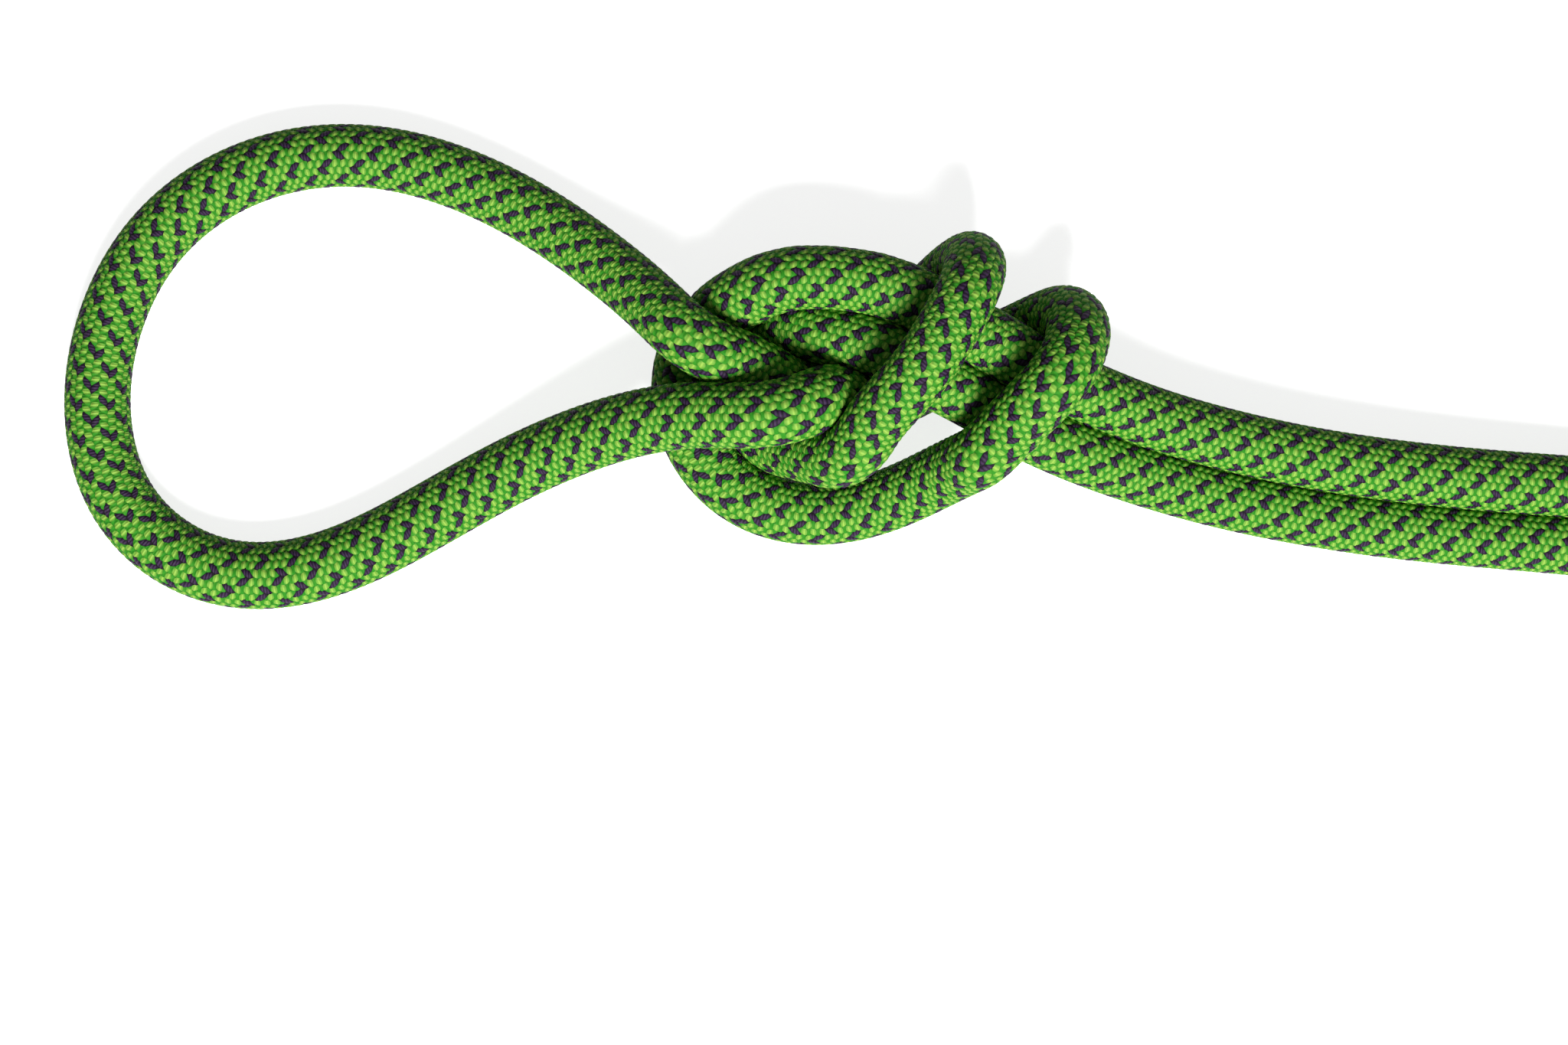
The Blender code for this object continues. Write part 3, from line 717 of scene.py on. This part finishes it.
# %% Thickness along the rope
THICKNESS = ((-9000, 1.0), (0, 0.98), (150, 0.98), (200, 0.97), (300, 0.98), (345, 1.0),
             (420, 1.0), (480, 1.05), (510, 1.08), (560, 1.07), (620, 1.04), (660, 1.02),
             (700, 1.0), (740, 1.0), (765, 1.04), (810, 1.0), (860, 0.98), (1100, 0.98))


def thickness(s):
    """The rope's thickness at lengths s, as a share of its diameter."""
    places, shares = zip(*THICKNESS)
    return np.interp((s - knot_start) / MM, places, shares)


def braid_distance(u, s):
    """From the rope's line to the surface of the braid."""
    return RADIUS * thickness(s) + RELIEF * (braid_height(u, s / CROSSING) - MEAN_HEIGHT)


print("thickest at %.2f" % max(shares for _, shares in THICKNESS))

# %% [markdown]
# ## The rope in the picture
# The standing part, the knot, the eye and the tail carry the braid in their mesh, fine enough
# that each float casts its own small shadow and the outline is serrated. A piece is kept under
# two hundred thousand triangles, so the longer stretches are made of two or three pieces.

# %% The braided stretches
AROUND = 144
RING = CROSSING / 3
MOST_TRIANGLES = 190000
LONGEST = MOST_TRIANGLES * RING / (2 * AROUND)
NODES = ("standing_part", "knot_inner_turn", "eye_loop", "knot_outer_turn", "tail_sheath")
ropes = {}
for node, begins, ends in zip(NODES, joints[:-1], joints[1:]):
    count = math.ceil((ends - begins) / LONGEST)
    cuts = knot_start + np.linspace(begins, ends, count + 1)
    for k in range(count):
        piece = rolled("%s_braid_%d" % (node, k + 1), cuts[k], cuts[k + 1], AROUND, RING,
                       braid_distance, sheath_near, press=True)
        ropes[piece.name] = (piece, node, cuts[k], cuts[k + 1])
print({name: len(made[0].data.polygons) for name, made in ropes.items()})

# %% [markdown]
# ## The rope in the hank
# The folded rope is seen from further away, and there is five and a half metres of it. It has
# the same braid as a colour and a bump on a plainer tube.

# %% The folded lengths
HANK_AROUND = 32
HANK_RING = 1.4 * MM


def plain_distance(u, s):
    """From the rope's line to the surface of a plain tube."""
    return np.full(np.broadcast(u, s).shape, RADIUS)


halves = (0, knot_start / 2, knot_start)
for k in range(2):
    piece = rolled("hank_braid_%d" % (k + 1), halves[k], halves[k + 1], HANK_AROUND, HANK_RING,
                   plain_distance, sheath_far)
    ropes[piece.name] = (piece, "hank", halves[k], halves[k + 1])
for piece, node, _, _ in ropes.values():
    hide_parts(node)
    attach(piece, "root")
print("pieces of rope:", len(ropes))

# %% [markdown]
# ## Sleeve and tip at each end
# A cut rope is melted at its end so that core and sheath can't part, and a film is shrunk over
# the last stretch, where a maker may mark it; here it stays bare. The sleeve is rolled round the
# line like the braid, with the yarns showing through it a little. The melted tip is a profile
# spun round the rope's direction, pushed about slightly, because no melted end is quite round.

# %% Finishes of the ends
def film_finish():
    """Shrunk film: satin black, taking up the braid below it."""
    new, sockets, value = finish("shrink_film", (0.018, 0.018, 0.02), 0.42)
    u, v = value.uv("yarns")
    shapes = [nearest_float(u, v, middle, lean)[0] for middle, lean, _ in FAMILIES]
    creases = value.node("ShaderNodeTexNoise", Scale=900.0, Detail=3.0, Vector=value.place())
    (0.36 + 0.2 * creases).to(sockets["Roughness"])
    relief = shapes[0].maths("SMOOTH_MAX", shapes[1], 0.4) * 0.09 + creases * 0.03
    relief.bump(sockets)
    return new


def melted_finish():
    """Melted nylon: both colours of the sheath run together, half glossy, set in ripples."""
    new, sockets, value = finish("melted_end", roughness=0.3)
    spot = value.place()
    runs = value.node("ShaderNodeTexNoise", Scale=520.0, Detail=4.0, Distortion=1.2, Vector=spot)
    burnt = value.node("ShaderNodeTexNoise", Scale=260.0, Detail=2.0, Vector=spot)
    colour = runs.above(0.42, 0.6).mix((0.012, 0.075, 0.008, 1), (0.018, 0.008, 0.03, 1))
    burnt.above(0.5, 0.72).mix(colour, (0.012, 0.009, 0.006, 1)).to(sockets["Base Color"])
    (0.2 + 0.35 * burnt).to(sockets["Roughness"])
    (runs * 0.4).bump(sockets, strength=0.7)
    return new


film, melted = film_finish(), melted_finish()
print("finishes of the ends:", film.name, melted.name)


# %% A sleeve
FILM_RADIUS = 5.36 * MM        # at the drawn-in edges
FILM_EDGE = 1.2 * MM           # the length over which they are drawn in
FILM_RISE = 0.28 * MM          # and how much
FILM_BRAID = 0.04 * MM         # how far the braid shows through


def sleeve(name, s_from, s_to, node):
    """Film round the rope, drawn in at both edges, with its wall inside."""
    def distance(u, s):
        edge = np.clip(np.minimum(s - s_from, s_to - s) / FILM_EDGE, 0, 1)
        return (FILM_RADIUS + FILM_RISE * np.sqrt(edge * (2 - edge))
                + FILM_BRAID * braid_height(u, s / CROSSING))

    new = rolled(name, s_from, s_to, 2 * YARNS, 0.25 * MM, distance, film, capped=False)
    wall = new.modifiers.new("wall", "SOLIDIFY")
    wall.thickness = SLEEVE_WALL * 0.75
    wall.offset = -1
    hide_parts(node)
    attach(new, "root")
    return new


# %% A melted tip
TIP_RADIUS = RADIUS - 0.05 * MM
TIP_SHOULDER = 0.9 * MM        # the height at which its side turns into the dome
TIP_STEPS = 48                 # round the rope


def tip(name, place, direction, node):
    """A low dome on the rope's end, a little uneven."""
    dome = TIP_LENGTH - TIP_SHOULDER
    turns = np.linspace(0, math.pi / 2, 12)
    profile = [(0, 0), (TIP_RADIUS - 0.5 * MM, 0), (TIP_RADIUS, 0.35 * MM)]
    profile += [(TIP_RADIUS * math.cos(a) ** 0.55, TIP_SHOULDER + dome * math.sin(a) ** 0.8)
                for a in turns[:-1]] + [(0, TIP_LENGTH)]
    work = bmesh.new()
    points = [work.verts.new((r, 0, z)) for r, z in profile]
    for a, b in zip(points[:-1], points[1:]):
        work.edges.new((a, b))
    bmesh.ops.spin(work, geom=work.verts[:] + work.edges[:], cent=(0, 0, 0), axis=(0, 0, 1),
                   angle=2 * math.pi, steps=TIP_STEPS, use_merge=True)
    bmesh.ops.remove_doubles(work, verts=work.verts, dist=WELD)
    bmesh.ops.recalc_face_normals(work, faces=work.faces)
    for point in work.verts:
        x, y, z = point.co
        turn = math.atan2(y, x)
        push = 1 + 0.03 * math.sin(3 * turn + 1) * z / TIP_LENGTH + 0.02 * math.sin(7 * turn)
        point.co = (x * push, y * push, z * (1 + 0.05 * math.sin(2 * turn + 0.5)))
    spun_to = Vector((0, 0, 1)).rotation_difference(Vector(direction)).to_matrix().to_4x4()
    bmesh.ops.transform(work, matrix=Matrix.Translation(Vector(place)) @ spun_to, verts=work.verts)
    new = shown(name, work, bpy.data.meshes.new(name), melted)
    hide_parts(node)
    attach(new, "root")
    return new


# %% Both ends
long = line_s[-1]
tail_point, tail_direction, _, _ = directions(np.array([long]))
hank_point, hank_direction, _, _ = directions(np.array([0.0]))
tail_end = [sleeve("tail_film", long - SLEEVE_LENGTH, long - 0.1 * MM, "tail_sleeve"),
            tip("tail_melted_tip", tail_point[0], tail_direction[0], "tail_tip")]
hank_end = [sleeve("hank_film", 0.1 * MM, SLEEVE_LENGTH, "hank_end_sleeve"),
            tip("hank_melted_tip", hank_point[0], -hank_direction[0], "hank_end_tip")]
print("the tail ends at, mm:", np.round(tail_point[0] / MM, 1).tolist())

# %% [markdown]
# ## Core and identification thread
# Inside the tail lie the twisted strands that carry the load and the thread that marks the rope.
# The plain model has them in their right shape, so they keep it, and only get their finish:
# white nylon with the fine ripple of twisted yarn, bumped and in painted shade, and dark purple
# thread.

# %% Finishes inside the rope
def twisted_finish(name, colour, shade, ripple):
    """Twisted yarn: slanting ripples this far apart, with painted shade in their grooves between the
    two colours.
    """
    new, sockets, value = finish(name, colour, 0.6)
    spot = value.place()
    x, y = spot.split()
    lay = (x + 0.6 * y).wave(ripple)
    cloudy = value.node("ShaderNodeTexNoise", Scale=700.0, Detail=3.0, Vector=spot)
    # the darker colour is painted shade in the ripple's grooves, broken up by a random tone from the
    # noise
    (lay * 0.5 + cloudy * 0.5).mix((*shade, 1), (*colour, 1)).to(sockets["Base Color"])
    (0.5 + 0.2 * cloudy).to(sockets["Roughness"])
    (lay * 0.08).bump(sockets, strength=0.8)
    return new


core_yarn = twisted_finish("core_yarn", (0.82, 0.82, 0.79), (0.62, 0.61, 0.56), 0.8 * MM)
thread_yarn = twisted_finish("thread_yarn", (0.07, 0.03, 0.12), (0.02, 0.01, 0.03), 0.3 * MM)
for name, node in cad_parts.items():
    if name.startswith("core_strand"):
        node.data.materials.clear()
        node.data.materials.append(core_yarn)
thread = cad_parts["identification_thread"]
thread.data.materials.clear()
thread.data.materials.append(thread_yarn)
print("core strands:", sum(name.startswith("core_strand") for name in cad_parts))

# %% [markdown]
# ## The strap
# A strip of webbing goes once round the waist of the hank and over its own start, where it is
# sewn. The strip's line is worked out first: it lies flat across the runs and turns round the
# outer ones. A grid laid along that line is the webbing, and the modifiers give it its thickness
# and its rounded edges.

# %% The strap's line
seat = RADIUS + SEAT_GAP
near_y = middle_y - max(r[0] for r in runs if r[1] < 0) + HANK_WAIST
far_y = middle_y + max(r[0] for r in runs if r[1] > 0) - HANK_WAIST
top_z = FLOOR_HEIGHT + WAIST_LIFT + (HANK_LAYERS - 1) * STRAND_PITCH
low_z = STRAP_THICKNESS + seat
bend = seat + STRAP_THICKNESS / 2
tab_y = (near_y + far_y) / 2 + STRAP_TAB / 2
corners = ((near_y, top_z, 90), (near_y, low_z, 180), (far_y, low_z, 270), (far_y, top_z, 0))
strip = [(tab_y - 1.5 * MM, top_z + bend)]
for y, z, turn in corners:
    angles = np.radians(turn + np.arange(0, 91, 15))
    strip += [(y + bend * math.cos(a), z + bend * math.sin(a)) for a in angles]
over = top_z + bend + STRAP_THICKNESS + 0.1 * MM
# the far end climbs over the start and lies back along it
strip += [(tab_y + 4 * MM, top_z + bend), (tab_y + 1.5 * MM, top_z + bend + 0.1 * MM),
          (tab_y - 1 * MM, over - 0.1 * MM), (tab_y - 3.5 * MM, over), (tab_y - STRAP_TAB, over)]
strap_line = even(np.array([(middle_x, y, z) for y, z in strip]), 0.5 * MM)
strap_line[1:-1] = (strap_line[:-2] + strap_line[1:-1] + strap_line[2:]) / 3
print("the strip is %.0f mm long" % (arc_lengths(strap_line)[-1] / MM))


# %% The webbing's finish
RIB_STEP = 0.8                 # from one warp yarn to the next, in millimetres
FLOAT_STEP = 1.5               # and along it, from one of its floats to the next


def webbing_finish():
    """Black webbing: warp yarns in ribs along the strip, whose floats alternate, with painted shade
    between them.
    """
    new, sockets, value = finish("strap_webbing", roughness=0.75)
    x, y = value.uv("webbing")
    rib = x / RIB_STEP
    row = y / FLOAT_STEP
    column = rib.maths("FLOOR")
    across = rib - column - 0.5
    step = row + 0.5 * (column % 2)
    pick = step - step.maths("FLOOR") - 0.5
    rest = 1 - abs(across / 0.5) ** 2.4 - abs(pick / 0.5) ** 3.0
    height = rest.maths("MAXIMUM", 0) ** 0.5
    # darker between the floats: painted shade in the weave's gaps, lighter on their crests
    height.mix((0.004, 0.004, 0.0045, 1), (0.026, 0.026, 0.028, 1)).to(sockets["Base Color"])
    (0.85 - 0.2 * height).to(sockets["Roughness"])
    (height * 0.3).bump(sockets)
    return new


webbing = webbing_finish()
print("webbing:", len(webbing.node_tree.nodes), "nodes")

# %% The strap itself
ACROSS = 10
rows = len(strap_line) - 1
work = bmesh.new()
work.loops.layers.uv.new("webbing")
bmesh.ops.create_grid(work, x_segments=ACROSS, y_segments=rows, size=0.5, calc_uvs=True)
work.verts.ensure_lookup_table()
uv = work.loops.layers.uv["webbing"]
strap_long = arc_lengths(strap_line)[-1]
for face in work.faces:
    for loop in face.loops:
        x, y = loop.vert.co[:2]
        loop[uv].uv = ((x + 0.5) * STRAP_WIDTH / MM, (y + 0.5) * strap_long / MM)
for vert in work.verts:
    x, y = vert.co[:2]
    vert.co = Vector(strap_line[round((y + 0.5) * rows)]) + Vector((x * STRAP_WIDTH, 0, 0))
strap_band = shown("strap_band", work, bpy.data.meshes.new("strap_band"), webbing)
thick = strap_band.modifiers.new("thick", "SOLIDIFY")
thick.thickness = STRAP_THICKNESS - 0.15 * MM
thick.offset = 0
thick.use_even_offset = True
edges = strap_band.modifiers.new("edges", "BEVEL")
edges.width = 0.4 * MM
edges.segments = 2
edges.limit_method = "ANGLE"
edges.angle_limit = math.radians(60)
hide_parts("hank_strap")
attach(strap_band, "root")
print("webbing faces:", len(strap_band.data.polygons))

# %% The stitches: a box of them near the strip's end, in millimetres
STITCH_ROWS = (3, 11)
STITCH_SIDES = (-8.2, 8.2)
STITCH_LONG, STITCH_WIDE, STITCH_TALL = 0.85, 0.22, 0.16     # half of each
stitch_z = over + STRAP_THICKNESS / 2 - 0.05 * MM
box = [(x, y) for y in STITCH_ROWS for x in np.linspace(-7, 7, 7)]
box += [(x, y) for x in STITCH_SIDES for y in (5, 7.2, 9.4)]
work = bmesh.new()
for x, y in box:
    size = (STITCH_LONG, STITCH_WIDE) if y in STITCH_ROWS else (STITCH_WIDE, STITCH_LONG)
    place = Vector((middle_x + x * MM, tab_y - STRAP_TAB + y * MM, stitch_z))
    bmesh.ops.create_uvsphere(work, u_segments=10, v_segments=6, radius=MM,
                              matrix=Matrix.Translation(place)
                              @ Matrix.Diagonal((*size, STITCH_TALL, 1)))
stitch_thread = twisted_finish("stitch_thread", (0.10, 0.10, 0.105), (0.03, 0.03, 0.032), 0.3 * MM)
stitches = shown("strap_stitches", work, bpy.data.meshes.new("strap_stitches"), stitch_thread)
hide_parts("hank_strap")
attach(stitches, "root")
print("stitches:", len(box))

# %% [markdown]
# ## What lies free
# All of the rope is one flexible length that lies on the floor. For each piece the line that it
# follows is read, turned round in the hank, and the sleeve and tip on its end are picked out.

for name, (piece, node, s_from, s_to) in ropes.items():
    path = read_at(line, np.linspace(s_from, s_to, max(20, int((s_to - s_from) / (2 * MM)))))
    folded = node == "hank"
    if folded:
        path = path[::-1]
    last = s_to == cuts[-1] or s_from == 0
    pieces = hank_end if s_from == 0 else tail_end if last else []
    s_to - s_from
print("declared:", list(ropes))
